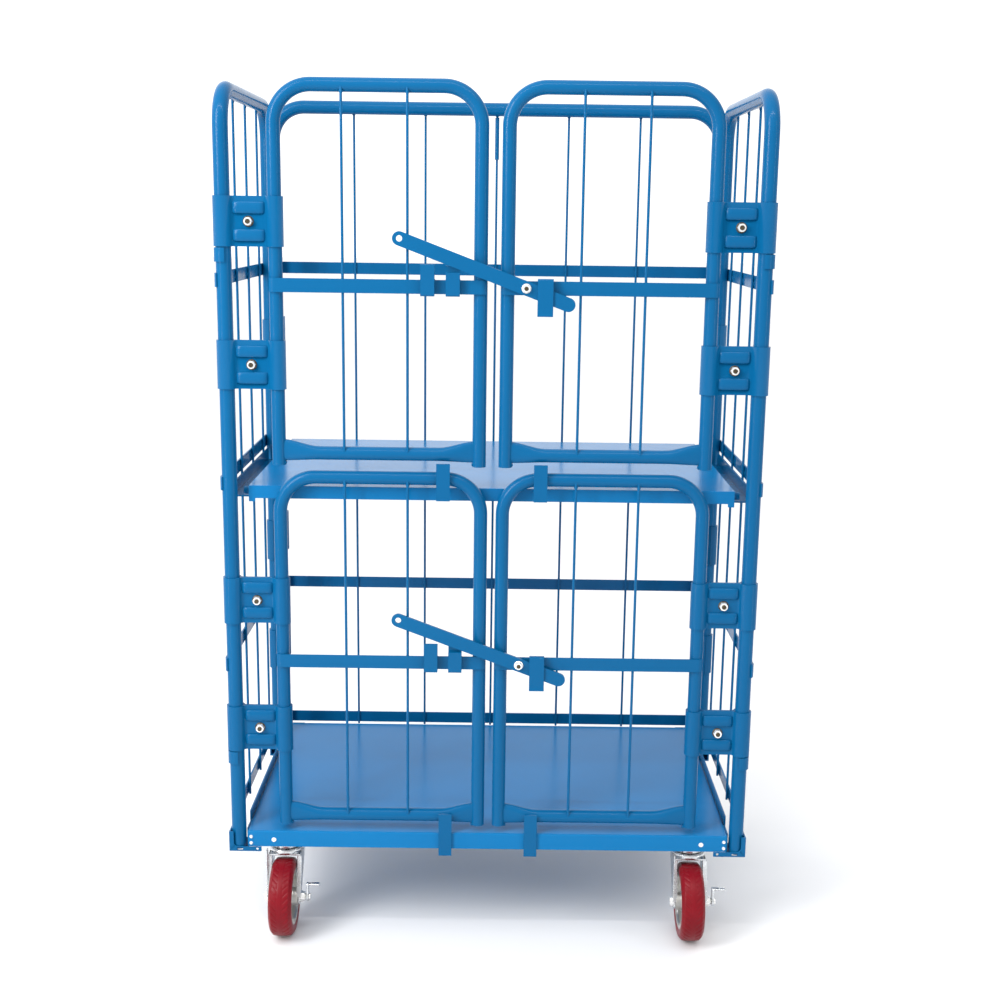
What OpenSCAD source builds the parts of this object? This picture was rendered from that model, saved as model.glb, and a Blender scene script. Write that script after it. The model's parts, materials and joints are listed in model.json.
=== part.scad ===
// Roll cage container: tubular cage on a castered deck, with two pairs of doors,
// a tilting middle shelf and a latch bar for each pair of doors.
// Frame: origin on the floor, in the middle of the overall length and width.
// +X is right, +Z is up, and the doors are at -Y.

/* [Cage] */
// Distance between the axes of the left and right corner posts
cage_w = 962; // [900:2:1100]
// Distance between the axes of the front and rear posts of a side frame
side_depth = 486; // [460:2:560]
// Height of the axis of the top tubes
top_z = 1606; // [1600:2:1640]
// Outer diameter of the post tubes
post_d = 28; // [26:0.5:30]
// Outer diameter of the door tubes
door_d = 25; // [22:0.5:26]
// Wall of the tubes
tube_wall = 2; // [1.5:0.1:2.5]
// Centreline radius of the tube bends
bend_r = 66; // [55:1:75]
// Diameter of the infill wires
wire_d = 5; // [4:0.5:6]
// Height of the flat straps
strap_h = 25; // [20:1:30]
// Thickness of the flat straps
strap_t = 3; // [2:0.5:3]

/* [Doors] */
// Gap between the latch tubes' axes of the upper doors
upper_gap = 48; // [44:1:60]
// Gap between the latch tubes' axes of the lower doors
lower_gap = 40; // [36:1:50]
// Height of the crossbar of the upper doors
upper_bar_z = 1259; // [1240:1:1280]
// Height of the crossbar of the lower doors
lower_bar_z = 562; // [550:1:580]
// Angle by which the latch bars stand raised
latch_rest = 20.5; // [18:0.5:24]

/* [Clamps] */
// Distance between the two sleeves of a clamp
clamp_pitch = 92; // [90:1:100]
// Height of a clamp
clamp_h = 94; // [80:1:94]
// Thickness of the clamp shells
shell_t = 3; // [2:0.5:3]
// Radial clearance between a tube and its sleeve
sleeve_fit = 0.06; // [0.02:0.01:0.1]

/* [Deck and shelf] */
// Height of the top of the deck
deck_z = 218; // [216:1:224]
// Height of the deck's folded lip
deck_lip = 32; // [30:1:34]
// Height of the top of the shelf
shelf_z = 890; // [880:1:892]

/* [Casters] */
// Wheel diameter
wheel_d = 150; // [140:1:150]
// Wheel width
wheel_w = 45; // [40:1:50]
// Distance from the swivel axis to the wheel's axle
trail = 40; // [36:1:44]

/* [Hidden] */
$fn = 64;
eps = 0.01;

// Colours
blue = [0.07, 0.40, 0.70];
zinc = [0.72, 0.74, 0.76];
iron = [0.80, 0.79, 0.74];
red = [0.66, 0.06, 0.10];

// Sides: -1 is left, +1 is right
LEFT = -1;
RIGHT = 1;

// Plan of the cage
post_r = post_d / 2;
door_r = door_d / 2;
half_w = cage_w / 2;
wheel_r = wheel_d / 2;
// The front wheels reach furthest forward, and the back panel's straps furthest back
depth = side_depth + clamp_pitch;
overall_l = wheel_r + depth + post_r + strap_t;
front_y = wheel_r - overall_l / 2;
rear_y = front_y + side_depth;
back_y = front_y + depth;
hinge_x = half_w - clamp_pitch;
foot_z = 180;
sleeve_post_r = post_r + sleeve_fit;
sleeve_door_r = door_r + sleeve_fit;
shell_gap = 0.6;

// Doors
upper_door_w = hinge_x - upper_gap / 2;
lower_door_w = hinge_x - lower_gap / 2;
upper_door_top = top_z - 3;
upper_door_foot = 934;
upper_rail_z = 956;
lower_door_top = 911;
lower_door_foot = 232;
lower_rail_z = 250;
flare_len = 52;
flare_h = 42;
flare_t = 12;
door_wire_x = [154, 269];
crossbar_n = door_r + strap_t;

// Heights of the clamps on each post, from the top
clamp_z = [1369, 1116, 676, 425];
// The collars under the top and bottom clamps, turned a little to the front
stop_h = 25;
stop_drop = 2;
stop_turn = 16;

// Side, back and shelf straps
strap_z = [1266, 898, 551];
foot_strap_z = 223;
back_strap_z = [1266, 551, foot_strap_z];
side_wire_y = [56, 181, 305, 430];
back_wire_pitch = 154.5;
wire_foot_z = foot_strap_z - strap_h / 2 - 3;
// The thickness of the joint between a wire and the strap or rail it is welded to
weld_gap = 0.02;
// How far short of a tube's axis the wires end
wire_stop = 4;
// The sleeve on the middle wire of the back panel
sleeve_d = 9;
sleeve_h = 88;
sleeve_shift = 2.4;

// Deck
deck_half_w = half_w - post_r - 4;
deck_front = front_y - post_r;
deck_back = back_y - post_r - 3;
deck_bottom = deck_z - deck_lip;
sheet_t = 2;
beam = 30;
beam_wall = 2;
socket_t = 3;
socket_h = 40;
socket_len = 56;
socket_w = 62;
socket_lip = 9;
slot_w = 11;
slot_x = 15;
lip_hole_x = 54;
rear_socket_y = rear_y - 28;
back_bolt_z = 198;
front_bolt_z = [193, 206];
front_bolt_in = 7;
// Relief at the front corners of the deck
notch_w = 13;
notch_d = 6;

// Latches: the parts that the bar passes lie in front of the crossbar, at these depths
latch_t = 5;
latch_w = 25;
keeper_t = 2.5;
bar_gap = 1;
bar_n = crossbar_n + keeper_t + bar_gap;
arm_n = bar_n + latch_t + bar_gap;
latch_arm = 240;
latch_tail = 80;
latch_hole_d = 11;
pivot_d = 8;
// Places of the pivot, the keepers and the clip across the doors, for the upper and lower pair
upper_latch_x = [57, -118, -73, 91];
lower_latch_x = [54, -110, -65, 88];
// Stop tabs across the doors, one on each door
upper_tab_x = 89;
lower_tab_x = 82;
tab_w = 25;

// Shelf
shelf_sheet = 1.5;
shelf_front = front_y + 17;
shelf_back = back_y - post_r - 7;
shelf_half_w = 450;
shelf_front_lip = 24;
shelf_side_lip = 30;
shelf_pin_d = 10;
front_pin_d = 16;
front_pin_len = 13;
shelf_pin_y = back_y - 54;
shelf_pin_z = shelf_z - 15;
rail_x = half_w + post_r - wire_d - weld_gap;
rail_leg_h = 28;
rail_reach = 45;
rail_front = front_y + 74;
rail_back = rear_y - post_r - 7;
rail_z = shelf_z - shelf_side_lip;
ear_x = half_w - post_r + 6;
ear_t = 9;
ear_w = 62;

// Casters
caster_x = 396;
caster_y = front_y + 40;
rear_caster_y = back_y - 64;
plate_z = deck_bottom;
plate_t = 4;
hub_r = 54;
fork_t = 3.5;
fork_gap = 5;
fork_in = wheel_w / 2 + fork_gap;
fork_out = fork_in + fork_t;
crown_z = 156;
race_z = crown_z + 12;
kingpin_d = 16;
axle_d = 12;
brake_t = 4;
guard_t = 2.5;
guard_w = 13;
guard_top = 173;
plate_bolt_x = 38;
plate_bolt_y = 30;

// ---------- shared shapes ----------

// Draws children made for the left side on the left or the right side
module on_side(side) {
    mirror([side > 0 ? 1 : 0, 0, 0]) children();
}

// Turns a panel drawn along X, with its outer face at -Y, into a left side panel along Y
module as_left_panel() {
    translate([-half_w, front_y, 0]) mirror([1, -1, 0]) children();
}

// A solid inverted U in the XZ plane, its legs' axes at x = 0 and x = w
module u_rod(w, foot, top, d) {
    for (x = [0, w]) {
        translate([x, 0, foot]) cylinder(d = d, h = top - bend_r - foot);
    }
    translate([bend_r, 0, top]) rotate([0, 90, 0]) cylinder(d = d, h = w - 2 * bend_r);
    translate([w - bend_r, 0, top - bend_r]) rotate([90, 0, 0])
        rotate_extrude(angle = 90) translate([bend_r, 0]) circle(d = d);
    translate([bend_r, 0, top - bend_r]) mirror([1, 0, 0]) rotate([90, 0, 0])
        rotate_extrude(angle = 90) translate([bend_r, 0]) circle(d = d);
}

// An inverted U bent from tube, open at its feet
module u_tube(w, foot, top, d) {
    difference() {
        u_rod(w, foot, top, d);
        u_rod(w, foot - 1, top, d - 2 * tube_wall);
    }
}

// A flat strap laid in front of two tubes of radius r whose axes are w apart,
// with its ends bent a little way round them
module strap(w, r, z) {
    translate([0, 0, z - strap_h / 2]) linear_extrude(strap_h) {
        translate([0, -r - strap_t]) square([w, strap_t]);
        for (end = [0, 1]) {
            translate([end * w, 0]) mirror([end, 0]) intersection() {
                difference() {
                    circle(r = r + strap_t);
                    circle(r = r);
                }
                polygon([[0, 0], [0, -2 * r], [-2 * r, -2 * r]]);
            }
        }
    }
}

// Upright wires behind the straps, cut to the tubes given as children
module wires(xs, r, foot, top) {
    difference() {
        for (x = xs) {
            translate([x, wire_d / 2 - r + weld_gap, foot]) cylinder(d = wire_d, h = top - wire_stop - foot);
        }
        children();
    }
}

module cross_rod(w, z, d) {
    translate([0, 0, z]) rotate([0, 90, 0]) cylinder(d = d, h = w);
}

module hex_head(af, h) {
    cylinder(d = af / cos(30), h = h, $fn = 6);
}

// A bolt along +Z from its head, through a stack, with a washer and a nut on its end
module bolt_set(d, af, grip, end, washer = 1.6) {
    translate([0, 0, -0.6 * d]) hex_head(af, 0.6 * d);
    cylinder(d = d, h = grip + end);
    translate([0, 0, grip]) difference() {
        cylinder(d = 2.4 * d, h = washer);
        translate([0, 0, -1]) cylinder(d = d, h = washer + 2);
    }
    translate([0, 0, grip + washer]) difference() {
        hex_head(af, 0.85 * d);
        translate([0, 0, -1]) cylinder(d = d, h = d + 2);
    }
}

// ---------- clamps ----------

// One half of a clamp, drawn with the post's sleeve at the origin and the other at x = clamp_pitch
module clamp_shell(other_r, other_bore) {
    difference() {
        intersection() {
            union() {
                cylinder(r = sleeve_post_r + shell_t, h = clamp_h, center = true);
                translate([clamp_pitch, 0, 0])
                    cylinder(r = other_bore + shell_t, h = clamp_h, center = true);
                translate([0, -shell_t, -clamp_h / 2]) cube([clamp_pitch, shell_t, clamp_h]);
                for (z = [-24, 24]) {
                    translate([22, -1, z]) rotate([0, 90, 0]) cylinder(r = 8, h = clamp_pitch - 42);
                }
            }
            translate([-clamp_pitch, -clamp_pitch - shell_gap / 2, -clamp_h])
                cube([3 * clamp_pitch, clamp_pitch, 2 * clamp_h]);
        }
        cylinder(r = sleeve_post_r, h = clamp_h + 2, center = true);
        translate([clamp_pitch, 0, 0]) cylinder(r = other_bore, h = clamp_h + 2, center = true);
        translate([clamp_pitch / 2, 0, 0]) rotate([90, 0, 0]) cylinder(d = pivot_d, h = 4 * shell_t);
    }
}

module clamp(other_bore) {
    clamp_shell(other_bore, other_bore);
    mirror([0, 1, 0]) clamp_shell(other_bore, other_bore);
}

module clamp_bolt() {
    translate([clamp_pitch / 2, shell_t, 0]) rotate([90, 0, 0]) bolt_set(pivot_d, 13, 2 * shell_t, 12);
}

// The two clamps that carry one door; first is the number of the upper one
module door_clamps(side, first) {
    color(blue) on_side(side) for (i = [first, first + 1]) {
        translate([-half_w, front_y, clamp_z[i]]) clamp(sleeve_door_r);
    }
}

module door_clamp_bolts(side, first) {
    color(zinc) on_side(side) for (i = [first, first + 1]) {
        translate([-half_w, front_y, clamp_z[i]]) clamp_bolt();
    }
}

// Places children at each rear clamp, with x running from the side frame to the back frame
module at_rear_clamps() {
    for (side = [LEFT, RIGHT], z = clamp_z) {
        on_side(side) translate([-half_w, rear_y, z]) mirror([1, -1, 0]) children();
    }
}

module rear_clamps() {
    color(blue) at_rear_clamps() clamp(sleeve_post_r);
}

module rear_clamp_bolts() {
    color(zinc) at_rear_clamps() clamp_bolt();
}

// ---------- cage panels ----------

module side_frame(side) {
    color(blue) on_side(side) as_left_panel() u_tube(side_depth, foot_z, top_z, post_d);
}

// A collar on the outer side of a front post, for a clamp to rest on
module clamp_stop(z) {
    translate([0, 0, z - clamp_h / 2 - stop_drop - stop_h]) rotate([0, 0, -stop_turn]) difference() {
        cylinder(r = post_r + strap_t, h = stop_h);
        translate([0, 0, -1]) cylinder(r = post_r, h = stop_h + 2);
        translate([-2 * post_r, 0, -1]) cube([4 * post_r, 2 * post_r, stop_h + 2]);
    }
}

// The two foot straps are cut short, because they are welded between the corner sockets
module side_infill(side) {
    color(blue) on_side(side) as_left_panel() {
        for (z = strap_z) {
            strap(side_depth, post_r, z);
        }
        for (z = [clamp_z[0], clamp_z[3]]) {
            clamp_stop(z);
        }
        for (y = [-post_r - strap_t, post_r]) {
            translate([socket_len - post_r - socket_t, y, foot_strap_z - strap_h / 2])
                cube([rear_socket_y - front_y - socket_len + post_r + socket_t, strap_t, strap_h]);
        }
        wires(side_wire_y, post_r, wire_foot_z, top_z) u_rod(side_depth, foot_z, top_z, post_d);
    }
}

module back_panel() {
    translate([-half_w, back_y, 0]) mirror([0, 1, 0]) children();
}

module back_frame() {
    color(blue) back_panel() u_tube(cage_w, foot_z, top_z, post_d);
}

module back_infill() {
    color(blue) back_panel() {
        for (z = back_strap_z) {
            strap(cage_w, post_r, z);
        }
        wires([for (i = [-2:2]) half_w + i * back_wire_pitch], post_r, wire_foot_z, top_z)
            cross_rod(cage_w, top_z, post_d);
        translate([half_w, wire_d / 2 - post_r + sleeve_shift, top_z - post_r - 2 - sleeve_h])
            cylinder(d = sleeve_d, h = sleeve_h);
    }
}

// ---------- doors ----------

// Places children at a door's hinge axis, with x running to its latch side
module at_door(side) {
    on_side(side) translate([-hinge_x, front_y, 0]) children();
}

// The bottom rail, its ends pressed flat and flared where they meet the upright tubes
module door_rail(w, z) {
    difference() {
        union() {
            cross_rod(w, z, door_d);
            for (end = [0, 1]) {
                translate([end * w, flare_t / 2, z]) mirror([end, 0, 0]) rotate([90, 0, 0])
                    linear_extrude(flare_t) polygon([
                        [0, -flare_h / 2], [flare_len, -door_r + 1],
                        [flare_len, door_r - 1], [0, flare_h / 2]
                    ]);
            }
        }
        for (x = [0, w]) {
            translate([x, 0, z - flare_h]) cylinder(d = door_d, h = 2 * flare_h);
        }
    }
}

module door_frame(side, w, foot, top) {
    color(blue) at_door(side) u_tube(w, foot, top, door_d);
}

module door_infill(side, w, top, bar_z, rail_z) {
    color(blue) at_door(side) {
        door_rail(w, rail_z);
        strap(w, door_r, bar_z);
        wires([for (x = door_wire_x) hinge_x - x], door_r, rail_z + wire_stop, top) {
            cross_rod(w, top, door_d);
            cross_rod(w, rail_z, door_d + 2 * weld_gap);
        }
    }
}

// A stop tab in front of a lip: a plate tangent to the rail at z, from low to high
module stop_tab(x, rail_z, low, high) {
    translate([x, front_y, 0]) difference() {
        union() {
            translate([-tab_w / 2, -door_r - 2 * strap_t, low])
                cube([tab_w, strap_t, high - low]);
            translate([-tab_w / 2 + 4, -door_r - strap_t - 1, rail_z - 8])
                cube([tab_w - 8, strap_t + 5, 16]);
        }
        translate([-tab_w, 0, 0]) cross_rod(2 * tab_w, rail_z, door_d);
    }
}

// An upward-open keeper on the crossbar, for the latch bar to drop into
module keeper(x, bar_z, arm_h) {
    translate([x - latch_w / 2, front_y, bar_z - strap_h / 2 - keeper_t - 1]) {
        translate([0, -crossbar_n - keeper_t, 0]) cube([latch_w, keeper_t, strap_h + keeper_t + 26]);
        translate([0, -arm_n - keeper_t, 0])
            cube([latch_w, arm_n + keeper_t - crossbar_n, keeper_t]);
        translate([0, -arm_n - keeper_t, 0]) cube([latch_w, keeper_t, arm_h]);
    }
}

// A downward-open clip that guides and stops the tail of the latch bar
module tail_clip(x, bar_z) {
    back_low = bar_z - strap_h / 2;
    top = bar_z + strap_h / 2 + 2;
    translate([x - 14, front_y, 0]) {
        translate([0, -crossbar_n - keeper_t, back_low]) cube([28, keeper_t, top - back_low]);
        translate([0, -arm_n - keeper_t, top]) cube([28, arm_n + keeper_t - crossbar_n, keeper_t]);
        difference() {
            translate([0, -arm_n - keeper_t, top - 64]) cube([28, keeper_t, 64 + eps]);
            translate([14, 0, top - 56]) rotate([90, 0, 0]) cylinder(d = 4, h = 2 * arm_n);
        }
    }
}

// The two keepers of a left door; the inner one's arm is lower, so that the raised bar clears it
module keepers(xs, bar_z, low_arm) {
    keeper(xs[1], bar_z, 56);
    keeper(xs[2], bar_z, low_arm);
}

// ---------- latch bars ----------

// A latch bar, its pivot at the origin, lying along X and raised by latch_rest
module latch_bar() {
    rotate([0, latch_rest, 0]) translate([0, -bar_n, 0]) rotate([90, 0, 0]) difference() {
        union() {
            translate([-latch_arm, -latch_w / 2, 0]) cube([latch_arm + latch_tail, latch_w, latch_t]);
            for (x = [-latch_arm, latch_tail]) {
                translate([x, 0, 0]) cylinder(d = latch_w, h = latch_t);
            }
        }
        translate([-latch_arm, 0, -1]) cylinder(d = latch_hole_d, h = latch_t + 2);
        translate([0, 0, -1]) cylinder(d = pivot_d + 2 * sleeve_fit, h = latch_t + 2);
    }
}

module placed_latch_bar(xs, bar_z) {
    color(blue) translate([xs[0], front_y, bar_z]) latch_bar();
}

// The pivot bolt, with the spacer that holds the bar off the crossbar
module latch_bolt(xs, bar_z) {
    color(zinc) translate([xs[0], front_y, bar_z]) rotate([90, 0, 0]) {
        translate([0, 0, crossbar_n]) cylinder(d = 14, h = keeper_t + bar_gap - 0.3);
        translate([0, 0, crossbar_n]) cylinder(d = pivot_d, h = bar_n + latch_t + 10 - crossbar_n);
        translate([0, 0, bar_n + latch_t + 0.3]) cylinder(d = 17, h = 1.6);
        translate([0, 0, bar_n + latch_t + 1.9]) hex_head(13, 6.5);
    }
}

// ---------- deck ----------

module beam_x(length, y) {
    translate([-length / 2, y, deck_bottom]) difference() {
        cube([length, beam, beam]);
        translate([-1, beam_wall, beam_wall])
            cube([length + 2, beam - 2 * beam_wall, beam - 2 * beam_wall]);
    }
}

module beam_y(length, x, y) {
    translate([x, y, deck_bottom]) difference() {
        cube([beam, length, beam]);
        translate([beam_wall, -1, beam_wall])
            cube([beam - 2 * beam_wall, length + 2, beam - 2 * beam_wall]);
    }
}

module base_frame() {
    inner_w = deck_half_w - sheet_t;
    inner_front = deck_front + sheet_t;
    inner_back = deck_back - sheet_t;
    span = inner_back - inner_front - 2 * beam;
    color(blue) difference() {
        union() {
            beam_x(2 * inner_w, inner_front);
            beam_x(2 * inner_w, inner_back - beam);
            for (x = [-inner_w, -beam / 2, inner_w - beam]) {
                beam_y(span, x, inner_front + beam);
            }
            for (side = [LEFT, RIGHT]) {
                on_side(side) {
                    translate([-inner_w, inner_front, deck_bottom]) cube([124, 110, plate_t]);
                    translate([-inner_w, inner_back - 124, deck_bottom]) cube([124, 124, plate_t]);
                }
            }
        }
        at_casters() plate_bolt_places() translate([0, 0, deck_bottom - 1])
            cylinder(d = pivot_d, h = 15);
        at_deck_notches() cube([notch_w, notch_d, beam / 2]);
    }
}

// Places children at the front corners of the deck, a little under its sheet
module at_deck_notches() {
    for (side = [LEFT, RIGHT]) {
        on_side(side) translate([-deck_half_w + sheet_t, deck_front + sheet_t, deck_z - beam / 2])
            children();
    }
}

module deck_sheet() {
    deck_d = deck_back - deck_front;
    color(blue) difference() {
        translate([-deck_half_w, deck_front, deck_bottom]) difference() {
            cube([2 * deck_half_w, deck_d, deck_lip]);
            translate([sheet_t, sheet_t, -1])
                cube([2 * deck_half_w - 2 * sheet_t, deck_d - 2 * sheet_t, deck_lip - sheet_t + 1]);
            for (x = [51, 2 * deck_half_w - 51]) {
                translate([x, sheet_t + 1, 14]) rotate([90, 0, 0]) cylinder(d = 6, h = sheet_t + 2);
            }
        }
        at_deck_notches() cube([notch_w, notch_d, beam]);
        at_front_screws() translate([0, 0, -sheet_t - 1]) cylinder(d = 4, h = sheet_t + 2);
    }
}

// A front socket: a floor under the foot of the corner post, with an outer wall,
// an inner wall beside the deck and a narrow lip in front
module front_socket() {
    inner = half_w + post_r + socket_t - deck_half_w;
    translate([-half_w - post_r - socket_t, deck_front - socket_t, foot_z - socket_t]) difference() {
        union() {
            cube([socket_t, socket_len, socket_h]);
            cube([inner, socket_len, socket_t]);
            translate([inner - socket_t, 2 * socket_lip, 0])
                cube([socket_t, socket_len - 2 * socket_lip, socket_h]);
            rotate([90, 0, 0]) translate([0, 0, -socket_t]) linear_extrude(socket_t) difference() {
                square([socket_w, socket_h]);
                translate([socket_lip, socket_lip]) offset(r = socket_lip) offset(r = -socket_lip)
                    square([2 * socket_w, 2 * socket_h]);
            }
        }
        translate([slot_x, -1, socket_t - 1]) cube([slot_w, socket_t + 2, 5]);
        translate([slot_x, socket_t - eps, -1]) cube([slot_w, slot_w, socket_t + 2]);
        translate([lip_hole_x, -1, socket_lip / 2]) rotate([-90, 0, 0])
            cylinder(d = 5, h = socket_t + 2);
    }
}

// A rear socket: a channel bolted to the deck's side lip
module rear_socket() {
    inner = deck_half_w + socket_t;
    z = foot_z - socket_t;
    for (x = [-half_w - post_r - socket_t, -inner]) {
        translate([x, rear_socket_y, z]) cube([socket_t, socket_len, socket_h]);
    }
    translate([-half_w - post_r - socket_t, rear_socket_y, z])
        cube([half_w + post_r + 2 * socket_t - inner, socket_len, socket_t]);
}

// A foot for the back panel, bolted to the deck's rear lip
module back_foot() {
    z = foot_z - socket_t;
    translate([-half_w - post_r, deck_back, z]) {
        cube([socket_w, socket_t, socket_h]);
        cube([2 * post_r, 2 * post_r + socket_t, socket_t]);
    }
}

// Places children at the screws in the deck's front lip, pointing out of it
module at_front_screws() {
    for (side = [LEFT, RIGHT], z = front_bolt_z) {
        on_side(side) translate([-deck_half_w + front_bolt_in, deck_front, z]) rotate([90, 0, 0])
            children();
    }
}

// Places children at the bolts of the back feet, pointing out of the plate
module at_back_bolts() {
    for (side = [LEFT, RIGHT]) {
        on_side(side) translate([-half_w + 31, deck_back + socket_t, back_bolt_z])
            rotate([-90, 0, 0]) children();
    }
}

module corner_sockets() {
    color(blue) difference() {
        for (side = [LEFT, RIGHT]) {
            on_side(side) {
                front_socket();
                rear_socket();
                back_foot();
            }
        }
        at_back_bolts() translate([0, 0, -10]) cylinder(d = 6, h = 20);
    }
}

module socket_bolts() {
    color(zinc) {
        at_front_screws() {
            cylinder(d1 = 7, d2 = 5, h = 2.2);
            translate([0, 0, -sheet_t]) cylinder(d = 4, h = sheet_t);
        }
        at_back_bolts() {
            hex_head(10, 4);
            translate([0, 0, -socket_t]) cylinder(d = 6, h = socket_t);
        }
    }
}

// ---------- shelf ----------

// An angle under each side of the shelf, against the side wires
module shelf_rails() {
    color(blue) for (side = [LEFT, RIGHT]) {
        on_side(side) translate([-rail_x, rail_front, rail_z - strap_t]) difference() {
            cube([rail_reach, rail_back - rail_front, rail_leg_h]);
            translate([strap_t, -1, strap_t])
                cube([rail_reach, rail_back - rail_front + 2, rail_leg_h]);
        }
    }
}

// Ears on the rear posts, bored for the shelf's pivot pins
module shelf_ears() {
    color(blue) for (side = [LEFT, RIGHT]) {
        on_side(side) difference() {
            translate([-ear_x, rear_y - post_r, rail_z]) cube([ear_t, ear_w, rail_leg_h]);
            translate([-half_w, rear_y, rail_z - 1]) cylinder(d = post_d, h = rail_leg_h + 2);
            translate([-ear_x - 1, shelf_pin_y, shelf_pin_z]) rotate([0, 90, 0])
                cylinder(d = shelf_pin_d + 2 * sleeve_fit, h = ear_t + 2);
        }
    }
}

module shelf_plate() {
    shelf_d = shelf_back - shelf_front;
    low = shelf_z - shelf_side_lip;
    color(blue) difference() {
        translate([-shelf_half_w, shelf_front, low]) cube([2 * shelf_half_w, shelf_d, shelf_side_lip]);
        translate([-shelf_half_w + shelf_sheet, shelf_front + shelf_sheet, low - 1]) cube([
            2 * shelf_half_w - 2 * shelf_sheet, shelf_d - 2 * shelf_sheet,
            shelf_side_lip - shelf_sheet + 1
        ]);
        for (y = [shelf_front - 1, shelf_back - shelf_sheet - 1]) {
            translate([-shelf_half_w + 12, y, low - 1])
                cube([2 * shelf_half_w - 24, shelf_sheet + 2, shelf_side_lip - shelf_front_lip + 1]);
        }
    }
}

// Rear pivot pins and front locating pins, welded to the ends of the shelf
module shelf_pins() {
    color(zinc) for (side = [LEFT, RIGHT]) {
        on_side(side) {
            translate([-ear_x - 2, shelf_pin_y, shelf_pin_z]) rotate([0, 90, 0])
                cylinder(d = shelf_pin_d, h = ear_x + 2 - shelf_half_w);
            translate([-shelf_half_w - front_pin_len, shelf_front + 30, shelf_pin_z])
                rotate([0, 90, 0]) cylinder(d = front_pin_d, h = front_pin_len);
        }
    }
}

// ---------- casters ----------

module at_front_caster(side) {
    translate([side * caster_x, caster_y, 0]) children();
}

module at_rear_caster(side) {
    translate([side * caster_x, rear_caster_y, 0]) children();
}

module at_casters() {
    for (side = [LEFT, RIGHT]) {
        at_front_caster(side) children();
        at_rear_caster(side) children();
    }
}

module plate_bolt_places() {
    for (x = [-plate_bolt_x, plate_bolt_x], y = [-plate_bolt_y, plate_bolt_y]) {
        translate([x, y, 0]) children();
    }
}

module caster_plates() {
    color(zinc) {
        at_casters() difference() {
            translate([-48, -40, plate_z - plate_t]) cube([96, 80, plate_t]);
            plate_bolt_places() translate([0, 0, plate_z - plate_t - 1])
                cylinder(d = pivot_d, h = plate_t + 2);
        }
        for (side = [LEFT, RIGHT]) {
            at_front_caster(side) {
                translate([0, 0, race_z]) cylinder(r = 31, h = plate_z - plate_t - race_z);
                translate([0, 0, crown_z - 5]) cylinder(d = kingpin_d, h = plate_z - crown_z);
                translate([0, 0, crown_z - 6]) cylinder(d = 1.6 * kingpin_d, h = 5.5);
            }
        }
    }
}

module caster_bolts() {
    color(zinc) at_casters() plate_bolt_places() {
        translate([0, 0, plate_z - plate_t - 5]) hex_head(13, 5);
        translate([0, 0, plate_z - plate_t]) cylinder(d = pivot_d, h = plate_t + 8);
    }
}

// Outline of one leg of a fork in the YZ plane, from the crown at y = 0 to the axle at y = -reach
module fork_leg(reach) {
    rotate([90, 0, 90]) linear_extrude(fork_t) difference() {
        union() {
            polygon([
                [-32, crown_z + fork_t], [30, crown_z + fork_t], [30, crown_z - 12],
                [-reach + 15, wheel_r - 4], [-reach - 15, wheel_r - 4]
            ]);
            translate([-reach, wheel_r]) circle(r = 15.5);
        }
        translate([-reach, wheel_r]) circle(d = axle_d);
    }
}

// A thread guard: a flat strap up the outside of a swivel fork's left leg
module guard_strap(reach) {
    translate([-fork_out - guard_t, -reach - guard_w / 2, wheel_r + 16])
        cube([guard_t, guard_w, guard_top - wheel_r - 16]);
    translate([-fork_out - guard_t, -reach + guard_w / 2 - 1, crown_z - 16])
        cube([guard_t, 10, 16]);
}

// A fork with its crown; the swivelling one has the upper race and a bore for the kingpin
module fork(reach, crown_h, bore) {
    difference() {
        union() {
            translate([-fork_out, 0, 0]) fork_leg(reach);
            translate([fork_in, 0, 0]) fork_leg(reach);
            translate([-fork_out, -32, crown_z]) cube([2 * fork_out, 62, fork_t]);
            translate([0, 0, crown_z]) cylinder(r = 34, h = crown_h);
        }
        if (bore > 0) {
            translate([0, 0, crown_z - 1]) cylinder(d = bore, h = crown_h + 2);
        }
    }
}

module front_fork(side) {
    color(zinc) at_front_caster(side) {
        fork(trail, race_z - crown_z - 0.5, kingpin_d + 2 * sleeve_fit);
        guard_strap(trail);
    }
}

module rear_forks() {
    color(zinc) for (side = [LEFT, RIGHT]) {
        at_rear_caster(side) fork(0, plate_z - plate_t - crown_z, 0);
    }
}

// An axle bolt with its head on the inner side of the cage and its nut on the outer side
module axle() {
    translate([-fork_out, 0, wheel_r]) rotate([0, 90, 0]) {
        cylinder(d = axle_d, h = 2 * fork_out + 12);
        translate([0, 0, -7]) hex_head(18, 7);
        translate([0, 0, 2 * fork_out]) difference() {
            hex_head(18, 9);
            translate([0, 0, -1]) cylinder(d = axle_d, h = 12);
        }
    }
}

module front_axle(side) {
    color(zinc) at_front_caster(side) {
        translate([0, -trail, 0]) axle();
        brake_stub();
    }
}

module rear_axles() {
    color(zinc) for (side = [LEFT, RIGHT]) {
        at_rear_caster(side) axle();
    }
}

// The wheel's iron hub: a rim, a thin web with four round windows, and a boss
module hub() {
    boss_w = wheel_w + 2 * fork_gap - 1;
    translate([0, 0, wheel_r]) rotate([0, 90, 0]) difference() {
        union() {
            difference() {
                cylinder(r = hub_r, h = wheel_w - 4, center = true);
                cylinder(r = hub_r - 6, h = wheel_w, center = true);
            }
            cylinder(r = hub_r - 5, h = 8, center = true);
            cylinder(r = 17, h = boss_w, center = true);
        }
        cylinder(d = axle_d + 2 * sleeve_fit, h = boss_w + 2, center = true);
        for (a = [45:90:315]) {
            rotate([0, 0, a]) translate([33, 0, 0]) cylinder(d = 20, h = 20, center = true);
        }
    }
}

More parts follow.
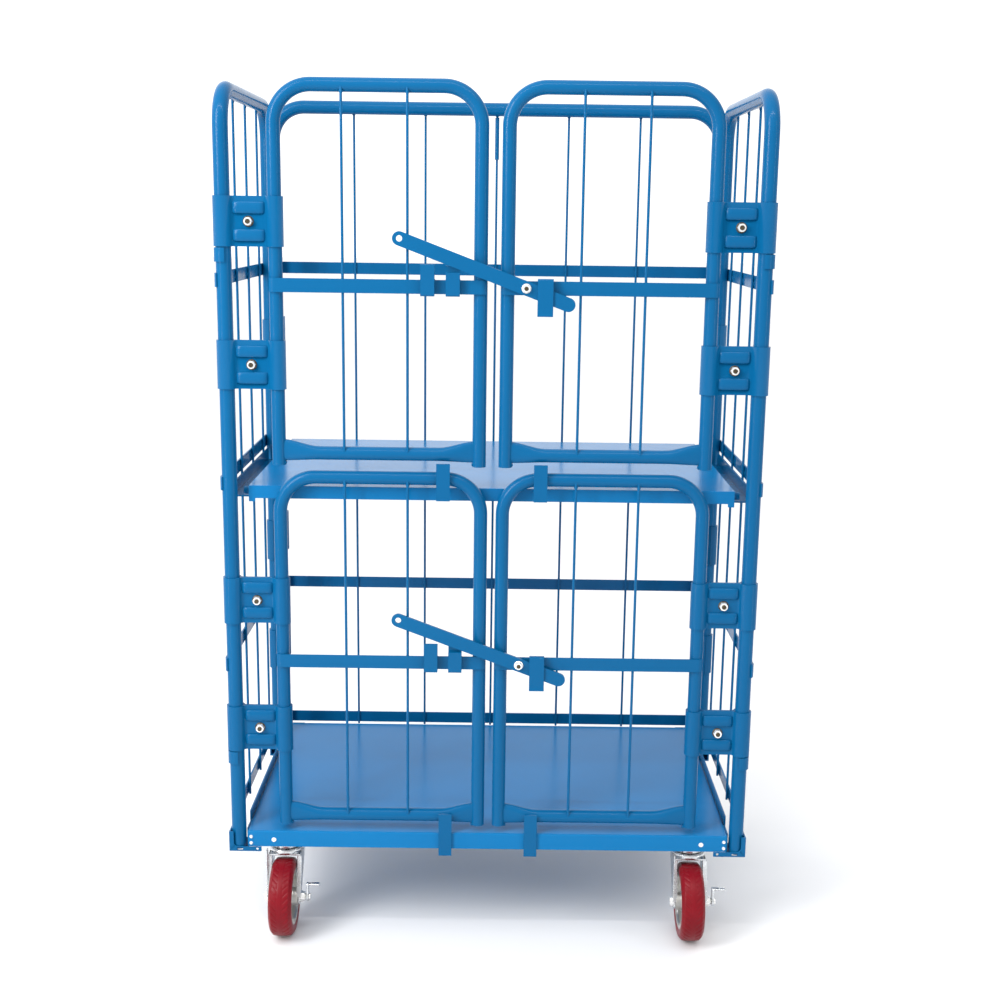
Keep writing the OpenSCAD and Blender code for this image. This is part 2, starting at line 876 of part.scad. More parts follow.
module tyre() {
    side_r = wheel_r - 7;
    translate([0, 0, wheel_r]) rotate([0, 90, 0]) rotate_extrude() polygon([
        [hub_r, -wheel_w / 2 + 1], [side_r - 3, -wheel_w / 2], [side_r, -wheel_w / 2 + 1],
        [wheel_r - 1.5, -wheel_w / 2 + 8], [wheel_r, -wheel_w / 2 + 14],
        [wheel_r, wheel_w / 2 - 14], [wheel_r - 1.5, wheel_w / 2 - 8],
        [side_r, wheel_w / 2 - 1], [side_r - 3, wheel_w / 2], [hub_r, wheel_w / 2 - 1]
    ]);
}

// A side brake lever that turns on the end of the axle
module brake_lever() {
    reach = fork_out + axle_d + 0.5;
    translate([reach, -trail, wheel_r]) {
        rotate([0, 90, 0]) difference() {
            union() {
                cylinder(r = 9, h = brake_t);
                translate([-28, -6, 0]) cube([28, 12, brake_t]);
            }
            translate([0, 0, -1]) cylinder(d = pivot_d + 2 * sleeve_fit, h = brake_t + 2);
        }
        translate([0, -6, 24]) cube([26, 12, brake_t]);
    }
}

// The stub that the brake lever turns on, at the axle's end
module brake_stub() {
    translate([fork_out + axle_d, -trail, wheel_r]) rotate([0, 90, 0]) {
        cylinder(d = pivot_d, h = brake_t + 3);
        translate([0, 0, brake_t + 1]) cylinder(d = 1.5 * pivot_d, h = 3);
    }
}

module front_brake(side) {
    color(zinc) at_front_caster(side) brake_lever();
}

// ---------- the nodes ----------

module upper_left_door_frame() {
    door_frame(LEFT, upper_door_w, upper_door_foot, upper_door_top);
}
module upper_right_door_frame() {
    door_frame(RIGHT, upper_door_w, upper_door_foot, upper_door_top);
}
module lower_left_door_frame() {
    door_frame(LEFT, lower_door_w, lower_door_foot, lower_door_top);
}
module lower_right_door_frame() {
    door_frame(RIGHT, lower_door_w, lower_door_foot, lower_door_top);
}

module upper_left_door_infill() {
    door_infill(LEFT, upper_door_w, upper_door_top, upper_bar_z, upper_rail_z);
}
module upper_right_door_infill() {
    door_infill(RIGHT, upper_door_w, upper_door_top, upper_bar_z, upper_rail_z);
}
module lower_left_door_infill() {
    door_infill(LEFT, lower_door_w, lower_door_top, lower_bar_z, lower_rail_z);
}
module lower_right_door_infill() {
    door_infill(RIGHT, lower_door_w, lower_door_top, lower_bar_z, lower_rail_z);
}

// The stop tabs of one lower door, on its top and bottom rails
module door_tabs(side) {
    stop_tab(side * upper_tab_x, lower_door_top, shelf_z - 18, upper_rail_z - door_r - 2.5);
    stop_tab(side * lower_tab_x, lower_rail_z, deck_bottom - 13, lower_rail_z + 8);
}
module upper_left_keepers() {
    color(blue) keepers(upper_latch_x, upper_bar_z, 42);
}
module lower_left_catches() {
    color(blue) {
        keepers(lower_latch_x, lower_bar_z, 40);
        door_tabs(LEFT);
    }
}
module upper_right_clip() {
    color(blue) tail_clip(upper_latch_x[3], upper_bar_z);
}
module lower_right_catches() {
    color(blue) {
        tail_clip(lower_latch_x[3], lower_bar_z);
        door_tabs(RIGHT);
    }
}

module placed_hub(side, y) {
    color(iron) translate([side * caster_x, y, 0]) hub();
}
module placed_tyre(side, y) {
    color(red) translate([side * caster_x, y, 0]) tyre();
}
front_wheel_y = caster_y - trail;

base_frame();
deck_sheet();
corner_sockets();
socket_bolts();
side_frame(LEFT);  // left_side_frame
side_infill(LEFT);  // left_side_infill
side_frame(RIGHT);  // right_side_frame
side_infill(RIGHT);  // right_side_infill
back_frame();
back_infill();
rear_clamps();
rear_clamp_bolts();
shelf_rails();
shelf_ears();
shelf_plate();
shelf_pins();
upper_left_door_frame();
upper_left_door_infill();
upper_left_keepers();
upper_right_door_frame();
upper_right_door_infill();
upper_right_clip();
lower_left_door_frame();
lower_left_door_infill();
lower_left_catches();
lower_right_door_frame();
lower_right_door_infill();
lower_right_catches();
door_clamps(LEFT, 0);  // upper_left_clamps
door_clamp_bolts(LEFT, 0);  // upper_left_clamp_bolts
door_clamps(RIGHT, 0);  // upper_right_clamps
door_clamp_bolts(RIGHT, 0);  // upper_right_clamp_bolts
door_clamps(LEFT, 2);  // lower_left_clamps
door_clamp_bolts(LEFT, 2);  // lower_left_clamp_bolts
door_clamps(RIGHT, 2);  // lower_right_clamps
door_clamp_bolts(RIGHT, 2);  // lower_right_clamp_bolts
placed_latch_bar(upper_latch_x, upper_bar_z);  // upper_latch_bar
latch_bolt(upper_latch_x, upper_bar_z);  // upper_latch_bolt
placed_latch_bar(lower_latch_x, lower_bar_z);  // lower_latch_bar
latch_bolt(lower_latch_x, lower_bar_z);  // lower_latch_bolt
caster_plates();
caster_bolts();
front_fork(LEFT);  // front_left_fork
front_axle(LEFT);  // front_left_axle
placed_hub(LEFT, front_wheel_y);  // front_left_hub
placed_tyre(LEFT, front_wheel_y);  // front_left_tyre
front_brake(LEFT);  // front_left_brake
front_fork(RIGHT);  // front_right_fork
front_axle(RIGHT);  // front_right_axle
placed_hub(RIGHT, front_wheel_y);  // front_right_hub
placed_tyre(RIGHT, front_wheel_y);  // front_right_tyre
front_brake(RIGHT);  // front_right_brake
rear_forks();
rear_axles();
placed_hub(LEFT, rear_caster_y);  // rear_left_hub
placed_tyre(LEFT, rear_caster_y);  // rear_left_tyre
placed_hub(RIGHT, rear_caster_y);  // rear_right_hub
placed_tyre(RIGHT, rear_caster_y);  // rear_right_tyre
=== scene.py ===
import json
import math

import bmesh
import bpy
from mathutils import Matrix, Vector


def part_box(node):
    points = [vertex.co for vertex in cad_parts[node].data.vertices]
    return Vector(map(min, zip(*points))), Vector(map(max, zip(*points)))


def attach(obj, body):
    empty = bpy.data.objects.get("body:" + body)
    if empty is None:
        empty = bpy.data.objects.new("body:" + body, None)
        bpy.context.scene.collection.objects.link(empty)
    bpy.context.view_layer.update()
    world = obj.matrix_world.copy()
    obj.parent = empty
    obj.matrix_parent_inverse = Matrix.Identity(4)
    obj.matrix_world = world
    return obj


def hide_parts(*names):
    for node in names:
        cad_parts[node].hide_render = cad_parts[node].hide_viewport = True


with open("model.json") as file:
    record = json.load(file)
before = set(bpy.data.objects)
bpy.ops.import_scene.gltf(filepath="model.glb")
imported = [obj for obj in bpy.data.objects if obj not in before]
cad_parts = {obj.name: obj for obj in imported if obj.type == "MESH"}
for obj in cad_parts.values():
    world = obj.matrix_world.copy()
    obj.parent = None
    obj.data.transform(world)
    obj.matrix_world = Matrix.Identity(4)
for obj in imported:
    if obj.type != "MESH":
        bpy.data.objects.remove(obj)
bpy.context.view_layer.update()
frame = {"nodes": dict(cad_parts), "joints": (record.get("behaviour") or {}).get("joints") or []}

MM = 0.001
LEFT, RIGHT = -1, 1
SIDES = {"left": LEFT, "right": RIGHT}


# ---------- sizes, in millimetres: the main lines come from the frame ----------

def node_box(node):
    low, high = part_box(node)
    return [c / MM for c in low], [c / MM for c in high]


BOX = {name: node_box(name) for name in frame["nodes"]}
JOINT = {j["name"]: j for j in frame["joints"]}


def joint_mm(name):
    return [c / MM for c in JOINT[name]["pos_m"]]


# main lines of the cage and radii of its tubes
HALF_W, FRONT_Y, _ = joint_mm("upper_right_link_hinge")
HINGE_X = joint_mm("upper_right_door_hinge")[0]
PITCH = HALF_W - HINGE_X
POST_R = (BOX["back_frame"][1][1] - BOX["back_frame"][0][1]) / 2
DOOR_R = (BOX["upper_left_door_frame"][1][1] - BOX["upper_left_door_frame"][0][1]) / 2
REAR_Y = BOX["left_side_frame"][1][1] - POST_R
BACK_Y = BOX["back_frame"][1][1] - POST_R
FOOT_Z = BOX["back_frame"][0][2]
TOP_Z = BOX["back_frame"][1][2] - POST_R
BEND_R = 66

# straps, wires and welds
STRAP_T = 3
STRAP_H = 25
WIRE_R = 2.5
WELD_GAP = 0.02
SIDE_DROP = 8
STRAP_Z = (1266, 898, 551)
FOOT_STRAP_Z = 223
FOOT_STRAP_START = 39
REAR_SOCKET_GAP = 28
WIRE_FOOT_Z = 207.5
SIDE_WIRE_Y = (56, 181, 305, 430)
BACK_WIRE_PITCH = 154.5
DOOR_WIRE_X = (154, 269)
MID_SLEEVE_LEN = 88
MID_SLEEVE_DROP = 104
MID_SLEEVE_SHIFT = 2.4

# clamps, their ribs and bolts, and the stops under the highest and lowest of them
SLEEVE_FIT = 0.06
SHELL_T = 3
CLAMP_H = 88
CLAMP_Z = (1369, 1116, 676, 425)
RIB_X = 46.8
RIB_Z = 24
RIB_HALF_LEN = 29.8
CLAMP_BOLT_D = 8.6
CLAMP_BOLT_AF = 14.5
CLAMP_WASHER_R = 9.6
STOP_H = 25
STOP_GAP = 2
STOP_ARC = (164, 344)

# doors: heights and places of what each one carries
DOORS = {
    "upper": {"latch_x": 24, "foot": 934, "top": 1603, "bar": 1259, "rail": 956, "pivot": 57,
              "keepers": ((-118, 56), (-73, 42)), "clip": 91, "clamps": CLAMP_Z[:2],
              "catches": {"left": "upper_left_keepers", "right": "upper_right_clip"}},
    "lower": {"latch_x": 20, "foot": 232, "top": 911, "bar": 562, "rail": 250, "pivot": 54,
              "keepers": ((-110, 56), (-65, 40)), "clip": 88, "clamps": CLAMP_Z[2:],
              "catches": {"left": "lower_left_catches", "right": "lower_right_catches"}},
}
TOP_TAB = {"x": 89, "low": 872, "high": 941}
RAIL_TAB = {"x": 82, "low": 173, "high": 258}

# latch bars and catches: _N is a distance in front of the door's plane
CROSSBAR_N = DOOR_R + STRAP_T
KEEPER_T = 2.5
KEEPER_W = 25
CLIP_W = 28
FOLD_R = 2.2
BAR_GAP = 1
LATCH_T = 5
LATCH_END_R = 12.5
LATCH_HOLE_R = 5.5
BAR_N = CROSSBAR_N + KEEPER_T + BAR_GAP
ARM_N = BAR_N + LATCH_T + BAR_GAP
LATCH_REST = math.radians(20.5)
LATCH_ARM = 240
LATCH_TAIL = 80

# wheels
WHEEL_R = 75
WHEEL_W = 45
TREAD_FLAT = 16.5
TREAD_DROP = 1.6
GROOVES = 36
GROOVE_DEPTH = 0.9
GROOVE_SLANT = 0.075
GROOVE_END = 20.0
MID_BAND = 5.0

# forks, axles, plates and guards of the casters
TRAIL = 40
CASTER_X = joint_mm("front_right_swivel")[0]
FRONT_CASTER_Y = joint_mm("front_right_swivel")[1]
REAR_CASTER_Y = joint_mm("rear_right_wheel")[1]
FORK_IN = 27.5
FORK_T = 3.5
FORK_OUT = FORK_IN + FORK_T
CROWN_Z = 156
PLATE_Z = 186
PLATE_HALF = (48, 40)
PLATE_T = 4
PLATE_BOLT = (38, 30)
GUARD_T = 2.5
GUARD_TOP = 173
LEG_BACK = -32
LEG_FRONT = 30
BOSS_R = 15.5
AXLE_D = 12
AXLE_AF = 18
AXLE_HEAD = 7
AXLE_NUT = 9
AXLE_SPARE = 12

# fasteners in the deck's lip
SOCKET_SCREW_X = 456
SOCKET_SCREW_Z = (193, 206)
BACK_BOLT_X = 450
BACK_BOLT_Z = 198
LIP_PLUG_X = 412
LIP_PLUG_Z = 200

# stage
SKY_SLOPE = (-0.24, 0.26, 0.50)
SKY_LEVEL = 1.02
LENS = 49.35
CAMERA_AT = (0.0106, -2.729, 1.387)
CAMERA_PITCH = math.radians(11.78)
CAMERA_ROLL = math.radians(0.76)
CAMERA_YAW = math.radians(-0.11)


# ---------- materials ----------

def new_material(name):
    mat = bpy.data.materials.new(name)
    mat.use_nodes = True
    return mat, mat.node_tree, mat.node_tree.nodes["Principled BSDF"]


def noise(tree, scale, detail=4.0, stretch=(1, 1, 1)):
    coord = tree.nodes.new("ShaderNodeTexCoord")
    mapping = tree.nodes.new("ShaderNodeMapping")
    mapping.inputs["Scale"].default_value = stretch
    tex = tree.nodes.new("ShaderNodeTexNoise")
    tex.inputs["Scale"].default_value = scale
    tex.inputs["Detail"].default_value = detail
    tree.links.new(coord.outputs["Object"], mapping.inputs["Vector"])
    tree.links.new(mapping.outputs["Vector"], tex.inputs["Vector"])
    return tex.outputs["Fac"]


def ramp(tree, fac, low, high, start=0.3, stop=0.7):
    node = tree.nodes.new("ShaderNodeMapRange")
    node.inputs["From Min"].default_value = start
    node.inputs["From Max"].default_value = stop
    node.inputs["To Min"].default_value = low
    node.inputs["To Max"].default_value = high
    tree.links.new(fac, node.inputs["Value"])
    return node.outputs["Result"]


def mix_colours(tree, fac, first, second):
    node = tree.nodes.new("ShaderNodeMix")
    node.data_type = "RGBA"
    node.inputs["A"].default_value = (*first, 1)
    node.inputs["B"].default_value = (*second, 1)
    tree.links.new(fac, node.inputs["Factor"])
    return node.outputs["Result"]


def add_bump(tree, bsdf, fac, distance, strength):
    bump = tree.nodes.new("ShaderNodeBump")
    bump.inputs["Distance"].default_value = distance
    bump.inputs["Strength"].default_value = strength
    tree.links.new(fac, bump.inputs["Height"])
    tree.links.new(bump.outputs["Normal"], bsdf.inputs["Normal"])


# painted_light_gain scales the coat's colour; above 1 it is painted light, a lighter copy of the
# same blue for brightly lit sheet tops
def powder_coat(name, painted_light_gain):
    mat, tree, bsdf = new_material(name)
    patch = ramp(tree, noise(tree, 3.0), 0, 1, 0.35, 0.65)
    shades = ((0.0017, 0.088, 0.222), (0.0021, 0.095, 0.236))
    dull, fresh = [[c * painted_light_gain for c in rgb] for rgb in shades]
    colour = mix_colours(tree, patch, dull, fresh)
    tree.links.new(colour, bsdf.inputs["Base Color"])
    tree.links.new(ramp(tree, noise(tree, 40.0), 0.17, 0.22), bsdf.inputs["Roughness"])
    bsdf.inputs["Specular IOR Level"].default_value = 0.12
    add_bump(tree, bsdf, noise(tree, 120.0, 2.0), 0.00004, 0.15)
    return mat


def zinc_plate():
    mat, tree, bsdf = new_material("zinc_plate")
    bsdf.inputs["Metallic"].default_value = 1.0
    patch = ramp(tree, noise(tree, 60.0), 0, 1)
    colour = mix_colours(tree, patch, (0.60, 0.62, 0.64), (0.70, 0.72, 0.73))
    tree.links.new(colour, bsdf.inputs["Base Color"])
    tree.links.new(ramp(tree, noise(tree, 90.0), 0.20, 0.34), bsdf.inputs["Roughness"])
    add_bump(tree, bsdf, noise(tree, 600.0, 2.0), 0.0001, 0.2)
    return mat


def chrome_bolt():
    mat, tree, bsdf = new_material("bright_bolt")
    bsdf.inputs["Metallic"].default_value = 0.55
    bsdf.inputs["Base Color"].default_value = (0.88, 0.88, 0.86, 1)
    tree.links.new(ramp(tree, noise(tree, 200.0), 0.14, 0.24), bsdf.inputs["Roughness"])
    return mat


def dark_steel():
    mat, tree, bsdf = new_material("dark_steel")
    bsdf.inputs["Metallic"].default_value = 0.8
    patch = ramp(tree, noise(tree, 300.0), 0, 1)
    colour = mix_colours(tree, patch, (0.055, 0.045, 0.030), (0.10, 0.08, 0.05))
    tree.links.new(colour, bsdf.inputs["Base Color"])
    bsdf.inputs["Roughness"].default_value = 0.4
    return mat


def hub_metal():
    mat, tree, bsdf = new_material("hub_metal")
    bsdf.inputs["Metallic"].default_value = 0.85
    patch = ramp(tree, noise(tree, 50.0), 0, 1)
    colour = mix_colours(tree, patch, (0.60, 0.59, 0.56), (0.70, 0.69, 0.66))
    tree.links.new(colour, bsdf.inputs["Base Color"])
    tree.links.new(ramp(tree, noise(tree, 120.0), 0.30, 0.42), bsdf.inputs["Roughness"])
    return mat


def red_tread():
    mat, tree, bsdf = new_material("red_tread")
    patch = ramp(tree, noise(tree, 25.0), 0, 1)
    colour = mix_colours(tree, patch, (0.150, 0.0032, 0.008), (0.185, 0.0042, 0.010))
    tree.links.new(colour, bsdf.inputs["Base Color"])
    bsdf.inputs["Specular IOR Level"].default_value = 0.15
    tree.links.new(ramp(tree, noise(tree, 80.0), 0.28, 0.42), bsdf.inputs["Roughness"])
    add_bump(tree, bsdf, noise(tree, 300.0, 3.0), 0.0002, 0.3)
    return mat


def floor_material():
    mat, _, bsdf = new_material("studio_floor")
    bsdf.inputs["Base Color"].default_value = (0.75, 0.755, 0.765, 1)
    bsdf.inputs["Roughness"].default_value = 0.6
    bsdf.inputs["Specular IOR Level"].default_value = 0.2
    return mat


PAINT = powder_coat("blue_powder_coat", 1.0)
# A lighter copy of the same blue coat: painted light for the bright light and reflection on the
# deck and shelf tops
PAINTED_LIGHT_COAT = powder_coat("blue_coat_painted_light", 1.5)
ZINC = zinc_plate()
BRIGHT = chrome_bolt()
DARK = dark_steel()
HUB = hub_metal()
TREAD = red_tread()


# ---------- mesh building ----------

def same_place(x, y, z):
    return (x, y, z)


class Shape:
    """Collects solids given in millimetres, and turns them into one object."""

    def __init__(self, place=same_place):
        self.place = place
        self.verts = []
        self.faces = []

    def add(self, verts, faces, to=None):
        base = len(self.verts)
        for v in verts:
            if to:
                v = to(*v)
            self.verts.append(self.place(*v))
        self.faces += [tuple(base + i for i in face) for face in faces]

    def grid(self, rings, closed_ends=True, loop=False, to=None):
        """Skins rings of equal length, each a closed loop of points."""
        count = len(rings[0])
        verts = [p for ring in rings for p in ring]
        faces = []
        last = len(rings) if loop else len(rings) - 1
        for i in range(last):
            a, b = i * count, ((i + 1) % len(rings)) * count
            for j in range(count):
                k = (j + 1) % count
                faces.append((a + j, a + k, b + k, b + j))
        if closed_ends and not loop:
            faces.append(tuple(range(count)))
            faces.append(tuple((len(rings) - 1) * count + j for j in range(count)))
        self.add(verts, faces, to)

    def prism(self, outline, low, high, to=None):
        """Extrudes an outline in the first two axes along the third."""
        self.grid([[(u, v, low) for u, v in outline], [(u, v, high) for u, v in outline]], to=to)

    def box(self, low, high):
        (x0, y0, z0), (x1, y1, z1) = low, high
        self.prism([(x0, y0), (x1, y0), (x1, y1), (x0, y1)], z0, z1)

    def lathe(self, profile, to, steps=48):
        """Turns a closed profile of (radius, height) pairs round the third axis."""
        rings = []
        for i in range(steps):
            a = 2 * math.pi * i / steps
            rings.append([(r * math.cos(a), r * math.sin(a), h) for r, h in profile])
        self.grid(rings, loop=True, to=to)

    def solid_lathe(self, profile, to, steps=48):
        """Turns an open profile whose first and last points lie near the axis."""
        rings = []
        for r, h in profile:
            rings.append([(r * math.cos(2 * math.pi * i / steps),
                           r * math.sin(2 * math.pi * i / steps), h) for i in range(steps)])
        self.grid(rings, to=to)

    def bead(self, centre, size):
        """A flattened ball, as a weld bead."""
        rings = []
        for i in range(1, 8):
            a = math.pi * i / 8
            rings.append([(centre[0] + size[0] * math.sin(a) * math.cos(math.pi * j / 6),
                           centre[1] + size[1] * math.sin(a) * math.sin(math.pi * j / 6),
                           centre[2] - size[2] * math.cos(a)) for j in range(12)])
        self.grid(rings)

    def done(self, name, body, nodes, material, bevel=0.0, sharp=35, segments=2):
        mesh = bpy.data.meshes.new(name)
        mesh.from_pydata([Vector(v) * MM for v in self.verts], [], self.faces)
        bm = bmesh.new()
        bm.from_mesh(mesh)
        bmesh.ops.recalc_face_normals(bm, faces=bm.faces)
        bm.to_mesh(mesh)
        bm.free()
        for poly in mesh.polygons:
            poly.use_smooth = True
        mesh.set_sharp_from_angle(angle=math.radians(sharp))
        obj = bpy.data.objects.new(name, mesh)
        bpy.context.scene.collection.objects.link(obj)
        obj.data.materials.append(material)
        if bevel:
            mod = obj.modifiers.new("edges", "BEVEL")
            mod.width = bevel * MM
            mod.segments = segments
            mod.limit_method = "ANGLE"
            mod.angle_limit = math.radians(40)
            mod.harden_normals = True
        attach(obj, body)
        if nodes:
            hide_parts(*nodes)
        return obj


def arc(cx, cy, r, start, stop, steps):
    """Points of an arc, with angles in degrees."""
    return [(cx + r * math.cos(math.radians(start + (stop - start) * i / steps)),
             cy + r * math.sin(math.radians(start + (stop - start) * i / steps)))
            for i in range(steps + 1)]


# ---------- tubes, straps and wires ----------

def u_path(w, foot, top):
    """Points (x, z) and tangents of an inverted U."""
    steps = 20
    pts = [(0, foot, 0, 1), (0, foot + 2, 0, 1)]
    for i in range(steps + 1):
        a = math.pi - math.pi / 2 * i / steps
        pts.append((BEND_R + BEND_R * math.cos(a), top - BEND_R + BEND_R * math.sin(a),
                    math.sin(a), -math.cos(a)))
    for i in range(steps + 1):
        a = math.pi / 2 - math.pi / 2 * i / steps
        pts.append((w - BEND_R + BEND_R * math.cos(a), top - BEND_R + BEND_R * math.sin(a),
                    math.sin(a), -math.cos(a)))
    pts += [(w, foot + 2, 0, -1), (w, foot, 0, -1)]
    return pts


def u_tube(shape, w, foot, top, radius, wall=2.0, sides=48):
    def ring(p, r):
        x, z, tx, tz = p
        return [(x + r * math.cos(a) * tz, r * math.sin(a), z - r * math.cos(a) * tx)
                for a in (2 * math.pi * i / sides for i in range(sides))]

    pts = u_path(w, foot, top)
    rings = [ring(p, radius) for p in pts]
    inner = [ring(p, radius - wall) for p in pts]
    shape.grid(rings + inner[::-1], loop=True)


def strap(shape, w, r, z):
    """A flat laid across two tubes, with its ends bent round them."""
    out, steps = r + STRAP_T, 8
    outline = arc(0, 0, out, 225, 270, steps) + arc(w, 0, out, 270, 315, steps)
    outline += arc(w, 0, r, 315, 270, steps) + arc(0, 0, r, 270, 225, steps)
    shape.prism(outline, z - STRAP_H / 2, z + STRAP_H / 2)


def wire(shape, x, y, foot, top):
    steps = 20
    rings = []
    end = WIRE_R - 0.5
    for z, r in ((foot, end), (foot + 0.5, WIRE_R), (top - 0.5, WIRE_R), (top, end)):
        rings.append([(x + r * math.cos(2 * math.pi * i / steps),
                       y + r * math.sin(2 * math.pi * i / steps), z) for i in range(steps)])
    shape.grid(rings)


def wires(shape, xs, r, foot, top, strap_zs):
    """Wires behind the straps, with a weld bead at each crossing and at the top tube."""
    y = WIRE_R - r + WELD_GAP
    for x in xs:
        wire(shape, x, y, foot, top - 4)
        shape.bead((x, y + 0.6, top - math.sqrt(r * r - (y + WIRE_R) ** 2) - 2), (3.6, 3.0, 3.2))
        for z in strap_zs:
            for side in (-1, 1):
                shape.bead((x + side * 2.6, -r - 0.1, z + side * 3.0), (1.6, 1.1, 4.5))


def door_rail(shape, w, z):
    """The bottom rail, pressed flat and flared where it meets the upright tubes."""
    flare, steps = 70, 32
    stations = [4, 10, 16, 24, 32, 42, 54, 64, 76]
    xs = stations + [w / 2] + [w - s for s in reversed(stations)]
    rings = []
    for x in xs:
        t = min(1.0, max(0.0, (min(x, w - x) - 8) / (flare - 4)))
        t = t * t * (3 - 2 * t)
        high, thick = DOOR_R + 7 * (1 - t), 7.5 + (DOOR_R - 7.5) * t
        mid = z + 5 * (1 - t)
        power = 2.0 + 1.0 * (1 - t)
        ring = []
        for i in range(steps):
            a = 2 * math.pi * i / steps
            c, s = math.cos(a), math.sin(a)
            ring.append((x, thick * math.copysign(abs(c) ** (2 / power), c),
                         mid + high * math.copysign(abs(s) ** (2 / power), s)))
        rings.append(ring)
    shape.grid(rings)
    for x in (0, w):
        inward = 1 if x == 0 else -1
        for side in (-1, 1):
            shape.bead((x + inward * (DOOR_R - 0.6), 0, z + side * 18), (2.2, 6.0, 3.6))


# ---------- bolts ----------

def hex_nut(shape, af, low, high, to):
    """A hexagon with its corners turned down at the free end."""
    flat = af / 2
    corner = af / math.sqrt(3)
    rings = []
    steps = 48
    for h, dip, limit in ((low, 0, corner), (high - 0.18 * af, 0.10 * af, corner),
                          (high, 0, flat * 0.97)):
        ring = []
        for i in range(steps):
            a = 2 * math.pi * i / steps
            edge = flat / math.cos((a % (math.pi / 3)) - math.pi / 6)
            drop = dip * ((edge - flat) / (corner - flat))
            r = min(edge, limit)
            ring.append((r * math.cos(a), r * math.sin(a), h - drop))
        rings.append(ring)
    shape.grid(rings, to=to)


def thread(shape, d, low, high, to):
    """A bolt's end with its thread as rings."""
    pitch = 1.25
    r = d / 2
    profile = [(0.01, low), (r - 0.1, low)]
    h = low + 0.4
    while h < high - 1.2:
        profile += [(r - 0.1, h), (r - 0.7, h + pitch / 2)]
        h += pitch
    profile += [(r - 0.1, high - 1.0), (r - 1.0, high), (0.01, high)]
    shape.solid_lathe(profile, to, 28)


def washer(shape, r, low, high, to):
    shape.solid_lathe([(0.01, low), (r - 0.3, low), (r, low + 0.3), (r, high - 0.4),
                       (r - 0.5, high), (0.01, high)], to, 40)


def bolt_set(shape, ends, to):
    """Head, washer and nut of a clamp's bolt along the third axis, and the threaded end."""
    d, af, grip = CLAMP_BOLT_D, CLAMP_BOLT_AF, 2 * SHELL_T
    seat = grip + 1.6
    hex_nut(shape, af, 0, 0.6 * d, lambda x, y, z: to(x, y, -z))
    washer(ends, CLAMP_WASHER_R, grip, seat, to)
    hex_nut(shape, af, seat, seat + 0.85 * d, to)
    thread(ends, d, seat, grip + 12, to)


# ---------- clamps ----------

def half_shell(shape, r1, r2, flip):
    """One pressed half of a clamp, with its web, sleeves and stiffening ribs."""
    t = SHELL_T
    big, small = r1 + t, r2 + t
    web1 = math.degrees(math.asin(t / big))
    web2 = math.degrees(math.asin(t / small))
    outline = arc(0, 0, big, 181, 360 - web1 - 9, 24)
    outline += [(big + 1.2, -t - 0.6), (big + 3.5, -t)]
    outline += [(PITCH - small - 3.5, -t), (PITCH - small - 1.2, -t - 0.6)]
    outline += arc(PITCH, 0, small, 180 + web2 + 9, 359, 24)
    outline += arc(PITCH, 0, r2, 358.6, 181.4, 24) + arc(0, 0, r1, 358.6, 181.4, 24)

    def to(x, y, z):
        return (x, -y if flip else y, z)

    rows = [-CLAMP_H / 2, -CLAMP_H / 2 + 0.01, CLAMP_H / 2 - 0.01, CLAMP_H / 2]
    shape.grid([[(x, y, z) for x, y in outline] for z in rows], to=to)
    for z0 in (-RIB_Z, RIB_Z):
        rings = []
        for i in range(15):
            u = math.sin(math.pi * (i / 14 - 0.5))
            x = RIB_X + RIB_HALF_LEN * u
            swell = max(0.02, 1 - abs(u) ** 9)
            ring = []
            for k in range(17):
                a = math.pi * k / 16
                ring.append((x, -t + 0.6 - 6.4 * swell * math.sin(a) ** 0.55,
                             z0 + 11.2 * math.cos(a) * (0.80 + 0.20 * swell)))
            rings.append(ring)
        shape.grid(rings, to=to)


def clamps(name, body, zs, side):
    """The two clamps of one door, and their bolts."""
    place = lambda x, y, z: (side * (HALF_W - x), FRONT_Y + y, z)
    shells, bolts, ends = Shape(place), Shape(place), Shape(place)
    for z in zs:
        clamp_at(shells, bolts, ends, z, DOOR_R)
    shells.done(f"{name}_shells", body, [f"{name}_clamps"], PAINT, bevel=0.7)
    bolts.done(f"{name}_bolts", body, [f"{name}_clamp_bolts"], BRIGHT, sharp=30)
    ends.done(f"{name}_bolt_ends", body, [], DARK, sharp=30)


def clamp_at(shells, bolts, ends, z, other_r):
    lift = Shape()
    for flip in (False, True):
        half_shell(lift, POST_R + SLEEVE_FIT, other_r + SLEEVE_FIT, flip)
    shells.add([(x, y, h + z) for x, y, h in lift.verts], lift.faces)
    bolt_set(bolts, ends, lambda x, y, h: (PITCH / 2 + x, SHELL_T - h, z + y))


def rear_clamps():
    whole = [Shape(), Shape(), Shape()]
    for side in (LEFT, RIGHT):
        place = lambda x, y, z, s=side: (s * (HALF_W - y), REAR_Y + x, z)
        for z in CLAMP_Z:
            parts = [Shape(place), Shape(place), Shape(place)]
            clamp_at(*parts, z, POST_R)
            for total, part in zip(whole, parts):
                total.add(part.verts, part.faces)
    shells, bolts, ends = whole
    shells.done("rear_clamp_shells", "cage", ["rear_clamps"], PAINT, bevel=0.7)
    bolts.done("rear_clamp_nuts", "cage", ["rear_clamp_bolts"], BRIGHT, sharp=30)
    ends.done("rear_clamp_bolt_ends", "cage", [], DARK, sharp=30)


# ---------- panels ----------

